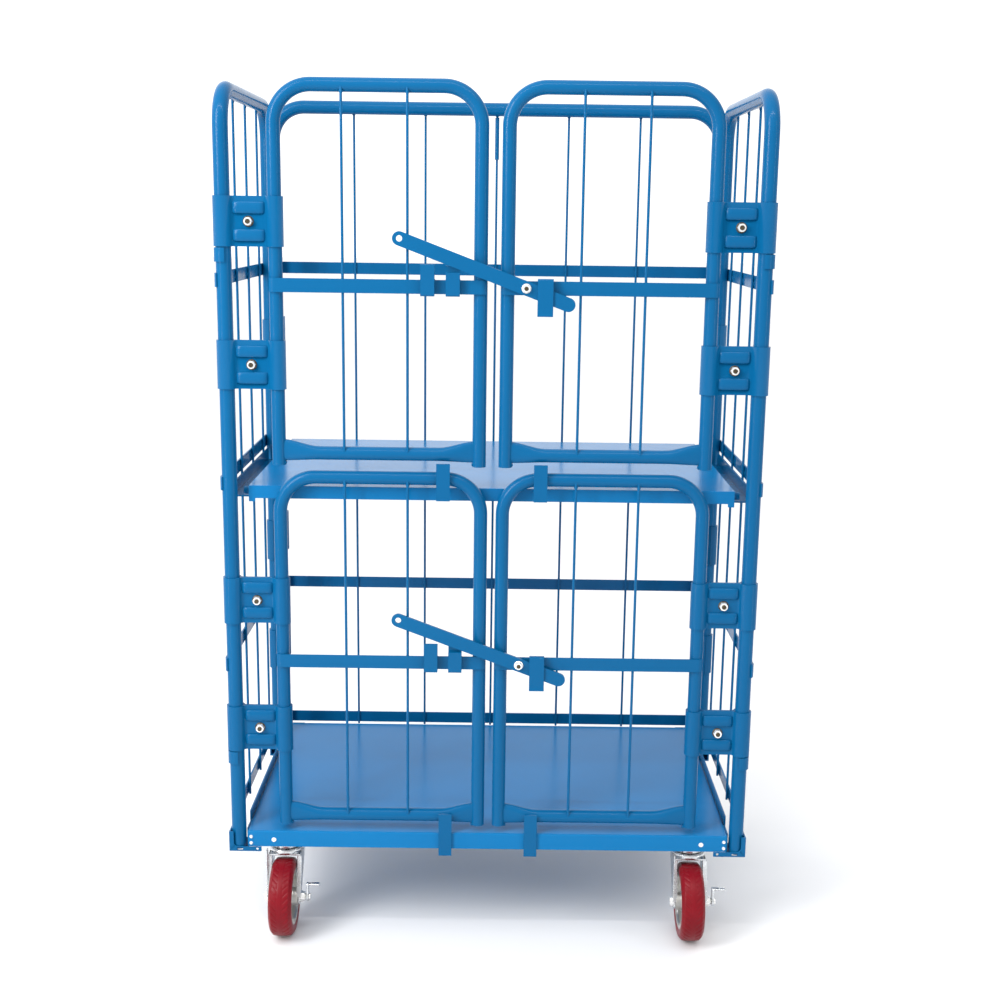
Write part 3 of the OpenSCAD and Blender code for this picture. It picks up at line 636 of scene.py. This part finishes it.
def side_panel(name, side):
    place = lambda x, y, z: (side * (HALF_W - y), FRONT_Y + x, z)
    depth = REAR_Y - FRONT_Y
    tube, infill = Shape(place), Shape(place)
    u_tube(tube, depth, FOOT_Z, TOP_Z - SIDE_DROP, POST_R)
    tube.done(f"{name}_side_tube", "cage", [f"{name}_side_frame"], PAINT)
    for z in STRAP_Z:
        strap(infill, depth, POST_R, z)
    strap_end = depth - REAR_SOCKET_GAP
    start, stop = STOP_ARC
    for z in (CLAMP_Z[0], CLAMP_Z[3]):
        outline = arc(0, 0, POST_R + STRAP_T, start, stop, 32)
        outline += arc(0, 0, POST_R, stop, start, 32)
        top = z - CLAMP_H / 2 - STOP_GAP
        infill.prism(outline, top - STOP_H, top)
    for y in (-POST_R - STRAP_T, POST_R):
        infill.box((FOOT_STRAP_START, y, FOOT_STRAP_Z - STRAP_H / 2),
                   (strap_end, y + STRAP_T, FOOT_STRAP_Z + STRAP_H / 2))
    wires(infill, SIDE_WIRE_Y, POST_R, WIRE_FOOT_Z, TOP_Z - SIDE_DROP, STRAP_Z)
    infill.done(f"{name}_side_grid", "cage", [f"{name}_side_infill"], PAINT, bevel=0.6)


def back_panel():
    place = lambda x, y, z: (x - HALF_W, BACK_Y - y, z)
    tube, infill = Shape(place), Shape(place)
    u_tube(tube, 2 * HALF_W, FOOT_Z, TOP_Z, POST_R)
    tube.done("back_tube", "cage", ["back_frame"], PAINT)
    zs = (STRAP_Z[0], STRAP_Z[2], FOOT_STRAP_Z)
    for z in zs:
        strap(infill, 2 * HALF_W, POST_R, z)
    xs = [HALF_W + i * BACK_WIRE_PITCH for i in range(-2, 3)]
    wires(infill, xs, POST_R, WIRE_FOOT_Z, TOP_Z, zs)
    y = WIRE_R - POST_R + MID_SLEEVE_SHIFT
    end = MID_SLEEVE_LEN
    infill.solid_lathe([(0.01, 0), (4.2, 0), (4.5, 0.4), (4.5, end - 0.4), (4.2, end), (0.01, end)],
                       lambda a, b, h: (HALF_W + a, y + b, TOP_Z - MID_SLEEVE_DROP + h), 24)
    infill.done("back_grid", "cage", ["back_infill"], PAINT, bevel=0.6)


# ---------- doors ----------

def door(level, name, side):
    d = DOORS[level]
    body = f"{level}_{name}_door"
    place = lambda x, y, z: (side * (HINGE_X - x), FRONT_Y + y, z)
    w = HINGE_X - d["latch_x"]
    tube, infill = Shape(place), Shape(place)
    u_tube(tube, w, d["foot"], d["top"], DOOR_R)
    tube.done(f"{body}_tube", body, [f"{body}_frame"], PAINT)
    door_rail(infill, w, d["rail"])
    strap(infill, w, DOOR_R, d["bar"])
    wires(infill, [HINGE_X - x for x in DOOR_WIRE_X], DOOR_R, d["rail"] + 4, d["top"], (d["bar"],))
    infill.done(f"{body}_grid", body, [f"{body}_infill"], PAINT, bevel=0.6)
    catches = Shape(lambda x, y, z: (x, FRONT_Y + y, z))
    if side == LEFT:
        for x, arm_h in d["keepers"]:
            keeper(catches, x, d["bar"], arm_h)
    else:
        tail_clip(catches, d["clip"], d["bar"])
    if level == "lower":
        stop_tab(catches, side, TOP_TAB, d["top"])
        stop_tab(catches, side, RAIL_TAB, d["rail"])
    catches.done(f"{body}_fittings", body, [d["catches"][name]], PAINT, bevel=0.7)


def folded(shape, centre_x, width, spine, t):
    """A folded strip: its side outline, offset by its thickness, across the given width."""
    left, right = [], []
    for i, (n, z) in enumerate(spine):
        before = spine[max(i - 1, 0)]
        after = spine[min(i + 1, len(spine) - 1)]
        dn, dz = after[0] - before[0], after[1] - before[1]
        length = math.hypot(dn, dz)
        off = (dz / length * t / 2, -dn / length * t / 2)
        left.append((n + off[0], z + off[1]))
        right.append((n - off[0], z - off[1]))
    outline = left + right[::-1]
    shape.prism(outline, centre_x - width / 2, centre_x + width / 2, to=lambda n, z, x: (x, -n, z))


def keeper(shape, x, bar_z, arm_h):
    """An upward-open hook with rounded folds."""
    base = bar_z - STRAP_H / 2 - KEEPER_T - 1
    back, arm = CROSSBAR_N + KEEPER_T / 2, ARM_N + KEEPER_T / 2
    low = base + KEEPER_T / 2
    r = FOLD_R
    spine = [(back, base + STRAP_H + KEEPER_T + 26), (back, low + r)]
    spine += [(back + r + n, low + r + z) for n, z in arc(0, 0, r, 190, 270, 5)]
    spine += [(arm - r + n, low + r + z) for n, z in arc(0, 0, r, 270, 350, 5)]
    spine += [(arm, low + r), (arm, base + arm_h - 1.5), (arm + 0.3, base + arm_h)]
    folded(shape, x, KEEPER_W, spine, KEEPER_T)
    for side in (-1, 1):
        shape.bead((x + side * 11, -CROSSBAR_N - 0.3, bar_z + 13.0), (2.4, 1.4, 1.8))


def tail_clip(shape, x, bar_z):
    """A downward-open clip over the tail of the latch bar, flared at its lip."""
    top = bar_z + STRAP_H / 2 + 2 + KEEPER_T / 2
    back, arm = CROSSBAR_N + KEEPER_T / 2, ARM_N + KEEPER_T / 2
    r = FOLD_R
    spine = [(back, bar_z - STRAP_H / 2), (back, top - r)]
    spine += [(back + r + n, top - r + z) for n, z in arc(0, 0, r, 170, 90, 5)]
    spine += [(arm - r + n, top - r + z) for n, z in arc(0, 0, r, 90, 10, 5)]
    spine += [(arm, top - r), (arm, top - 52), (arm + 0.4, top - 58), (arm + 1.6, top - 65)]
    folded(shape, x, CLIP_W, spine, KEEPER_T)


def stop_tab(shape, side, tab, rail_z):
    """A flat tab in front of the doors, on a short block welded to a door's tube."""
    x = side * tab["x"]
    n0, n1 = DOOR_R + STRAP_T, DOOR_R + 2 * STRAP_T
    shape.box((x - 12.5, -n1, tab["low"]), (x + 12.5, -n0, tab["high"]))
    shape.box((x - 8.5, -n0 - 0.5, rail_z - 8), (x + 8.5, -DOOR_R + 3, rail_z + 8))


# ---------- latch bars ----------

def latch(level):
    d = DOORS[level]
    turn = math.cos(LATCH_REST), math.sin(LATCH_REST)

    def to(x, z, n):
        return (d["pivot"] + x * turn[0] + z * turn[1], FRONT_Y - n,
                d["bar"] + z * turn[0] - x * turn[1])

    bar = Shape()
    outline = arc(-LATCH_ARM, 0, LATCH_END_R, 90, 270, 20)
    outline += arc(LATCH_TAIL, 0, LATCH_END_R, -90, 90, 20)
    hole = arc(-LATCH_ARM, 0, LATCH_HOLE_R, 90, 450, 32)[:-1]
    face_with_hole(bar, outline, hole, BAR_N, BAR_N + LATCH_T, to)
    bar.done(f"{level}_latch", f"{level}_latch", [f"{level}_latch_bar"], PAINT, bevel=0.9,
             segments=3)
    bolt = Shape()
    on_pivot = lambda x, y, h: (d["pivot"] + x, FRONT_Y - h, d["bar"] + y)
    washer(bolt, 7, CROSSBAR_N, BAR_N - 0.3, on_pivot)
    washer(bolt, 8.5, BAR_N + LATCH_T + 0.3, BAR_N + LATCH_T + 1.9, on_pivot)
    hex_nut(bolt, 13, BAR_N + LATCH_T + 1.9, BAR_N + LATCH_T + 8.4, on_pivot)
    bolt.done(f"{level}_latch_nut", f"{level}_right_door", [f"{level}_latch_bolt"], BRIGHT,
              sharp=30)
    stud = Shape()
    thread(stud, 8, CROSSBAR_N, BAR_N + LATCH_T + 10, on_pivot)
    stud.done(f"{level}_latch_stud", f"{level}_right_door", [], DARK, sharp=30)


def face_with_hole(shape, outline, hole, low, high, to):
    """A flat plate with a round hole, its faces bridged between hole and outline."""
    mesh = bmesh.new()
    layers = []
    for h in (low, high):
        ring = [mesh.verts.new((u, v, h)) for u, v in outline]
        inner = [mesh.verts.new((u, v, h)) for u, v in hole]
        edges = [mesh.edges.new((ring[i], ring[(i + 1) % len(ring)])) for i in range(len(ring))]
        edges += [mesh.edges.new((inner[i], inner[(i + 1) % len(inner)]))
                  for i in range(len(inner))]
        bmesh.ops.triangle_fill(mesh, edges=edges, use_beauty=True)
        layers.append((ring, inner))
    for k in (0, 1):
        a, b = layers[0][k], layers[1][k]
        for i in range(len(a)):
            j = (i + 1) % len(a)
            mesh.faces.new((a[i], a[j], b[j], b[i]))
    mesh.verts.index_update()
    shape.add([tuple(v.co) for v in mesh.verts],
              [tuple(v.index for v in f.verts) for f in mesh.faces], to)
    mesh.free()


# ---------- casters ----------

def tread_profile():
    """Half-widths and radii across the tread, from one bead to the other."""
    pts = [(-WHEEL_W / 2 + 1.2, 54.0), (-WHEEL_W / 2 + 0.2, 58.0), (-WHEEL_W / 2, 63.0)]
    half = [(WHEEL_W / 2 - 0.3, 66.0), (WHEEL_W / 2 - 2.0, 69.4), (WHEEL_W / 2 - 5.0, 72.2)]
    pts += [(-x, r) for x, r in half]
    count = 26
    for i in range(count + 1):
        x = TREAD_FLAT * (2 * i / count - 1)
        pts.append((x, WHEEL_R - TREAD_DROP * (abs(x) / TREAD_FLAT) ** 2.2))
    pts += [(x, r) for x, r in reversed(half)]
    pts += [(WHEEL_W / 2, 63.0), (WHEEL_W / 2 - 0.2, 58.0), (WHEEL_W / 2 - 1.2, 54.0)]
    return pts


def tyre(name, body, x, y):
    """The tread: a smooth middle band with slanting grooves on each side."""
    shape = Shape()
    steps = 720
    profile = tread_profile()
    rings = []
    for i in range(steps):
        a = 2 * math.pi * i / steps
        ring = []
        for across, r in profile:
            cut = 0.0
            side = abs(across)
            if MID_BAND < side < GROOVE_END and r > 68:
                phase = (a * GROOVES / (2 * math.pi) + (side - MID_BAND) * GROOVE_SLANT) % 1.0
                depth = max(0.0, 1 - abs(phase - 0.5) / 0.16)
                fade = min(1.0, (side - MID_BAND) / 2.0) * min(1.0, (GROOVE_END - side) / 2.0)
                cut = GROOVE_DEPTH * min(1.0, depth * 1.6) * fade
            if MID_BAND - 0.9 < side < MID_BAND + 0.9:
                cut = max(cut, 0.5)
            rr = r - cut
            ring.append((across, rr * math.cos(a), rr * math.sin(a)))
        rings.append(ring)
    shape.grid(rings, loop=True, to=lambda p, q, s: (x + p, y + q, WHEEL_R + s))
    shape.done(f"{name}_tread", body, [f"{name}_tyre"], TREAD, sharp=50)


def hub(name, body, x, y):
    """Rim and boss rings over the hub's web."""
    shape = Shape()
    axis = lambda p, q, h: (x + h, y + p, WHEEL_R + q)
    for s in (-1, 1):
        shape.lathe([(47.0, s * 17.0), (53.9, s * 17.0), (53.9, s * 20.6), (51.5, s * 21.4),
                     (48.6, s * 20.2)], axis, 72)
        shape.lathe([(7.0, s * 4.0), (24.0, s * 4.0), (21.0, s * 6.0), (17.4, s * 14.0),
                     (16.8, s * 20.0), (14.5, s * 22.5), (7.0, s * 22.5)], axis, 48)
    shape.done(f"{name}_hub_rings", body, [], HUB, sharp=32)
    frame["nodes"][f"{name}_hub"].data.materials.clear()
    frame["nodes"][f"{name}_hub"].data.materials.append(HUB)


def axle(shape, x, y):
    """Axle bolt with its head on the left, its nut on the right and a plain shank between."""
    axis = lambda p, q, h: (x - FORK_OUT + h, y + p, WHEEL_R + q)
    hex_nut(shape, AXLE_AF, 0, AXLE_HEAD, lambda p, q, h: axis(p, q, -h))
    thread(shape, AXLE_D, 2 * FORK_OUT, 2 * FORK_OUT + AXLE_SPARE, axis)
    hex_nut(shape, AXLE_AF, 2 * FORK_OUT, 2 * FORK_OUT + AXLE_NUT, axis)
    washer(shape, AXLE_D / 2 - 0.1, 0, 2 * FORK_OUT, axis)


def fork(shape, x, y, reach, crown_h):
    """Two pressed legs under a crown."""
    for s in (-1, 1):
        low, high = sorted((s * FORK_IN, s * FORK_OUT))
        boss = arc(-reach, WHEEL_R, BOSS_R, 205, 335, 14)
        outline = [(LEG_BACK, CROWN_Z + FORK_T), (LEG_BACK + 1, CROWN_Z - 14)]
        outline += boss + [(LEG_FRONT - 2, CROWN_Z - 16), (LEG_FRONT, CROWN_Z - 8),
                           (LEG_FRONT, CROWN_Z + FORK_T)]
        shape.prism(outline, low, high, to=lambda u, v, h: (x + h, y + u, v))
    shape.prism([(-FORK_OUT, LEG_BACK), (FORK_OUT, LEG_BACK),
                 (FORK_OUT, LEG_FRONT), (-FORK_OUT, LEG_FRONT)],
                CROWN_Z, CROWN_Z + FORK_T, to=lambda u, v, h: (x + u, y + v, h))
    up = lambda p, q, h: (x + p, y + q, CROWN_Z + h)
    shape.solid_lathe([(0.01, 0), (30, 0), (33, 1.2), (34, 4.0), (34, crown_h - 3.0),
                       (32.5, crown_h - 0.6), (30, crown_h), (0.01, crown_h)], up, 64)


def plate(shape, x, y):
    r = 7
    w, d = PLATE_HALF
    corners = [(w - r, d - r, 0), (r - w, d - r, 90), (r - w, r - d, 180), (w - r, r - d, 270)]
    outline = [p for cx, cy, a in corners for p in arc(cx, cy, r, a, a + 90, 6)]
    shape.prism(outline, PLATE_Z - PLATE_T, PLATE_Z, to=lambda u, v, h: (x + u, y + v, h))


def casters():
    plates, bolts, rear, rear_bolts = Shape(), Shape(), Shape(), Shape()
    for name, side in SIDES.items():
        x = side * CASTER_X
        for y in (FRONT_CASTER_Y, REAR_CASTER_Y):
            plate(plates, x, y)
            for dx in (-PLATE_BOLT[0], PLATE_BOLT[0]):
                for dy in (-PLATE_BOLT[1], PLATE_BOLT[1]):
                    hex_nut(bolts, 13, 0, 5, lambda p, q, h, a=x + dx, b=y + dy:
                            (a + p, b + q, PLATE_Z - PLATE_T - h))
        top = lambda p, q, h, a=x: (a + p, FRONT_CASTER_Y + q, CROWN_Z + 12 + h)
        plates.solid_lathe([(0.01, 0), (27, 0), (30, 1.2), (31, 3.5), (31, 9), (28, 11.5), (27, 14),
                            (0.01, 14)], top, 64)
        plates.solid_lathe([(0.01, -18), (11.5, -18), (12.8, -17), (12.8, -12.6), (8, -12.5),
                            (8, 1), (0.01, 1)], top, 40)
        front_caster(name, x)
        fork(rear, x, REAR_CASTER_Y, 0, PLATE_Z - PLATE_T - CROWN_Z)
        axle(rear_bolts, x, REAR_CASTER_Y)
        hub(f"rear_{name}", f"rear_{name}_wheel", x, REAR_CASTER_Y)
        tyre(f"rear_{name}", f"rear_{name}_wheel", x, REAR_CASTER_Y)
    plates.done("caster_top_plates", "cage", ["caster_plates"], ZINC, bevel=0.6)
    bolts.done("caster_plate_bolts", "cage", ["caster_bolts"], BRIGHT, sharp=30)
    rear.done("rear_fork_pair", "cage", ["rear_forks"], ZINC, bevel=0.9)
    rear_bolts.done("rear_axle_bolts", "cage", ["rear_axles"], BRIGHT, sharp=30)


def front_caster(name, x):
    body = f"front_{name}_swivel"
    y = FRONT_CASTER_Y
    legs = Shape()
    fork(legs, x, y, TRAIL, 11.5)
    guard = -FORK_OUT - GUARD_T
    legs.box((x + guard, y - TRAIL - 6.5, WHEEL_R + 16),
             (x - FORK_OUT, y - TRAIL + 6.5, GUARD_TOP))
    legs.box((x + guard, y - TRAIL + 5.5, CROWN_Z - 16), (x - FORK_OUT, y - TRAIL + 15.5, CROWN_Z))
    for low, high in ((-FORK_OUT - 2.4, -FORK_IN + 3), (FORK_IN - 3, FORK_OUT + 2.4)):
        edge = [(LEG_BACK, CROWN_Z), (LEG_BACK, CROWN_Z - 13), (-TRAIL - 15, WHEEL_R + 4)]
        back = [(v + 2.4, h) for v, h in reversed(edge)]
        legs.prism(edge + back, low, high, to=lambda u, v, h: (x + h, y + u, v))
    legs.done(f"front_{name}_legs", body, [f"front_{name}_fork"], ZINC, bevel=0.9)
    bolt = Shape()
    axle(bolt, x, y - TRAIL)
    stub = lambda p, q, h: (x + FORK_OUT + 12 + h, y - TRAIL + p, WHEEL_R + q)
    washer(bolt, 4, 0, 7, stub)
    washer(bolt, 6, 5, 8, stub)
    bolt.done(f"front_{name}_axle_bolt", body, [f"front_{name}_axle"], BRIGHT, sharp=30)
    lever = Shape()
    at = lambda u, v, h: (x + FORK_OUT + 12.5 + h, y - TRAIL + u, WHEEL_R + v)
    outline = arc(0, 0, 9, -225, 45, 20) + [(6, 9), (6, 26), (4, 28), (-4, 28), (-6, 26), (-6, 9)]
    lever.prism(outline, 0, 4, to=at)
    lever.solid_lathe([(0.01, 2), (2.4, 2), (2.8, 3), (3.2, 20), (3.0, 25), (1.6, 26), (0.01, 26)],
                      lambda p, q, h: at(p * 1.7, 26 + q * 0.9, h), 28)
    lever.done(f"front_{name}_lever", f"front_{name}_brake_lever", [f"front_{name}_brake"], ZINC,
               bevel=0.5)
    hub(f"front_{name}", f"front_{name}_wheel", x, y - TRAIL)
    tyre(f"front_{name}", f"front_{name}_wheel", x, y - TRAIL)


# ---------- deck, shelf and sockets ----------

def keep(node, material, width):
    """Shows the solid of the frame itself, with its edges softened."""
    obj = frame["nodes"][node]
    obj.data.materials.clear()
    obj.data.materials.append(material)
    weld = obj.modifiers.new("weld", "WELD")
    weld.merge_threshold = 0.00001
    mod = obj.modifiers.new("edges", "BEVEL")
    mod.width = width * MM
    mod.segments = 3
    mod.limit_method = "ANGLE"
    mod.angle_limit = math.radians(40)
    mod.harden_normals = True


def sheet_parts():
    for node, width in (("base_frame", 1.2), ("corner_sockets", 0.8),
                        ("shelf_rails", 0.7), ("shelf_ears", 0.8)):
        keep(node, PAINT, width)
    # The shelf plate gets the lighter copy of the coat, painted light
    keep("shelf_plate", PAINTED_LIGHT_COAT, 0.7)
    keep("shelf_pins", PAINT, 0.6)
    deck = Shape()
    tray(deck, *BOX["deck_sheet"])
    # The deck tray gets the lighter copy of the coat, painted light
    deck.done("deck_tray", "cage", ["deck_sheet"], PAINTED_LIGHT_COAT, sharp=50)
    deck_fasteners()


def rounded(low, high, inset, r, z):
    """A rectangle with rounded corners, drawn in by an inset."""
    (x0, y0), (x1, y1) = (low[0] + inset, low[1] + inset), (high[0] - inset, high[1] - inset)
    r = max(r - inset, 0.4)
    corners = [(x1 - r, y1 - r, 0), (x0 + r, y1 - r, 90),
               (x0 + r, y0 + r, 180), (x1 - r, y0 + r, 270)]
    return [(x, y, z) for cx, cy, a in corners for x, y in arc(cx, cy, r, a, a + 90, 6)]


def tray(shape, low, high, t=2.0, fold=3.0):
    """A sheet folded down all round, with a rounded fold."""
    rings = [rounded(low, high, t + 1, 4, high[2] - t), rounded(low, high, t, 4, high[2] - t),
             rounded(low, high, t, 4, low[2]), rounded(low, high, 0, 4, low[2])]
    for i in range(9):
        a = math.pi / 2 * i / 8
        rings.append(rounded(low, high, fold * (1 - math.cos(a)), 4,
                             high[2] - fold + fold * math.sin(a)))
    rings.append(rounded(low, high, fold + 1, 4, high[2]))
    shape.grid(rings)


def deck_fasteners():
    """Screws of the corner sockets, bolts of the back feet and plugs in the deck's lip."""
    screws = Shape()
    front = BOX["deck_sheet"][0][1]
    back = BOX["socket_bolts"][1][1]
    for side in (LEFT, RIGHT):
        for z in SOCKET_SCREW_Z:
            screws.solid_lathe([(0.01, 0), (3.5, 0), (3.4, 0.7), (2.4, 2.1), (0.01, 2.2)],
                               lambda p, q, h, s=side, v=z:
                               (s * SOCKET_SCREW_X + p, front - h, v + q), 28)
        screws.solid_lathe([(0.01, -1), (4.6, 0), (4.4, 0.6), (2.6, 1.4), (0.01, 1.6)],
                           lambda p, q, h, s=side:
                           (s * LIP_PLUG_X + p, front - h, LIP_PLUG_Z + q), 28)
        hex_nut(screws, 10, 0, 4,
                lambda p, q, h, s=side: (s * BACK_BOLT_X + p, back - 4 + h, BACK_BOLT_Z + q))
    screws.done("deck_screws", "cage", ["socket_bolts"], BRIGHT, sharp=30)


# ---------- stage ----------

def stage():
    bpy.ops.mesh.primitive_plane_add(size=1)
    floor = bpy.context.active_object
    floor.name = "floor"
    floor.scale = (60, 60, 1)
    floor.location = (0, 10, 0)
    floor.data.materials.append(floor_material())


def area_light(name, location, target, size, power):
    data = bpy.data.lights.new(name, "AREA")
    data.shape = "RECTANGLE"
    data.size, data.size_y = size
    data.energy = power
    obj = bpy.data.objects.new(name, data)
    bpy.context.scene.collection.objects.link(obj)
    obj.location = location
    obj.rotation_euler = (Vector(target) - Vector(location)).to_track_quat("-Z", "Y").to_euler()


def lights():
    scene = bpy.context.scene
    scene.view_settings.view_transform = "Standard"
    world = bpy.data.worlds.new("studio")
    scene.world = world
    world.use_nodes = True
    tree = world.node_tree
    background = tree.nodes["Background"]
    background.inputs["Color"].default_value = (1.0, 1.0, 1.0, 1)
    coord = tree.nodes.new("ShaderNodeTexCoord")
    slope = tree.nodes.new("ShaderNodeVectorMath")
    slope.operation = "DOT_PRODUCT"
    slope.inputs[1].default_value = SKY_SLOPE
    level = tree.nodes.new("ShaderNodeMath")
    level.operation = "ADD"
    level.inputs[1].default_value = SKY_LEVEL
    tree.links.new(coord.outputs["Generated"], slope.inputs[0])
    tree.links.new(slope.outputs["Value"], level.inputs[0])
    tree.links.new(level.outputs["Value"], background.inputs["Strength"])
    area_light("key", (-1.9, -1.9, 2.3), (-0.2, 0, 0.7), (1.0, 1.6), 66)
    area_light("top_strip", (0, -1.3, 2.9), (0, -0.2, 1.2), (2.6, 0.05), 18)
    area_light("left_strip", (-1.7, -1.5, 1.1), (0, -0.2, 0.9), (0.05, 2.2), 10)
    area_light("right_strip", (1.9, -1.2, 1.1), (0, -0.2, 0.9), (0.05, 2.2), 6)


def camera():
    data = bpy.data.cameras.new("camera")
    data.sensor_width = 36
    data.lens = LENS
    obj = bpy.data.objects.new("camera", data)
    bpy.context.scene.collection.objects.link(obj)
    look = Matrix.Rotation(CAMERA_YAW, 4, "Z")
    look = look @ Matrix.Rotation(math.pi / 2 - CAMERA_PITCH, 4, "X")
    look = look @ Matrix.Rotation(CAMERA_ROLL, 4, "Z")
    obj.matrix_world = Matrix.Translation(CAMERA_AT) @ look
    bpy.context.scene.camera = obj


for panel, panel_side in SIDES.items():
    side_panel(panel, panel_side)
back_panel()
rear_clamps()
for storey in DOORS:
    for panel, panel_side in SIDES.items():
        door(storey, panel, panel_side)
        clamps(f"{storey}_{panel}", f"{storey}_{panel}_link", DOORS[storey]["clamps"], panel_side)
    latch(storey)
casters()
sheet_parts()
stage()
lights()
camera()
